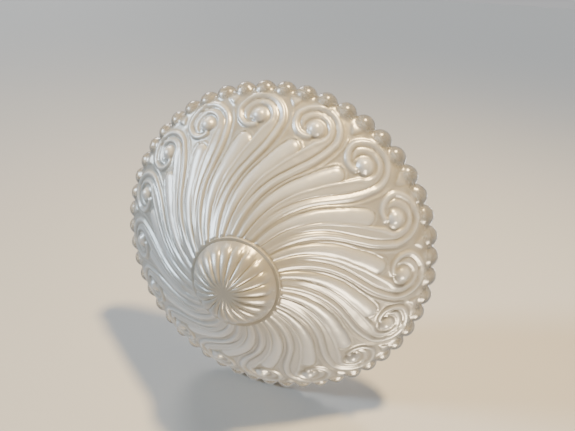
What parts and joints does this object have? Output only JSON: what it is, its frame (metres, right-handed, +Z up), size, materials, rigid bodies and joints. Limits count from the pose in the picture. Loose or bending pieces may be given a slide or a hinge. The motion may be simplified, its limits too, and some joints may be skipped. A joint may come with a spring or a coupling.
{
  "type": "tealight holder",
  "caption": "Conical pressed-glass bowl with a beaded rim, scroll relief and a fluted button foot, holding a tealight on a flat inner seat.",
  "frame": {"origin": "centre of the ground flat at the tip of the foot, on the bowl's axis; also the bottom centre of the bounding box", "axes": "+Z up along the bowl's axis, out of its mouth; X and Y level, with +X and +Y alike but for the phase of the pattern round the axis"},
  "size_m": [0.1244, 0.1244, 0.0446],
  "materials": {
    "frosted_glass": "satin frosted, milky, with a soft pearly gloss",
    "cup_metal": "bright drawn foil",
    "wax": "smooth white paraffin",
    "tab_metal": "tinned, dull",
    "wick_cotton": "waxed cotton braid"
  },
  "bodies": {
    "holder": {"glass_bowl": "frosted_glass"},
    "tealight": {"tealight_cup": "cup_metal"},
    "candle": {"tealight_wax": "wax", "wick_sustainer": "tab_metal", "wick": "wick_cotton"}
  },
  "joints": [
    {"name": "tealight_lift", "type": "slide", "parent": "holder", "child": "tealight", "axis": [0, 0, 1], "range_m": [0, 0.045]},
    {"name": "wax_lift", "type": "slide", "parent": "tealight", "child": "candle", "axis": [0, 0, 1], "range_m": [0, 0.02]}
  ]
}
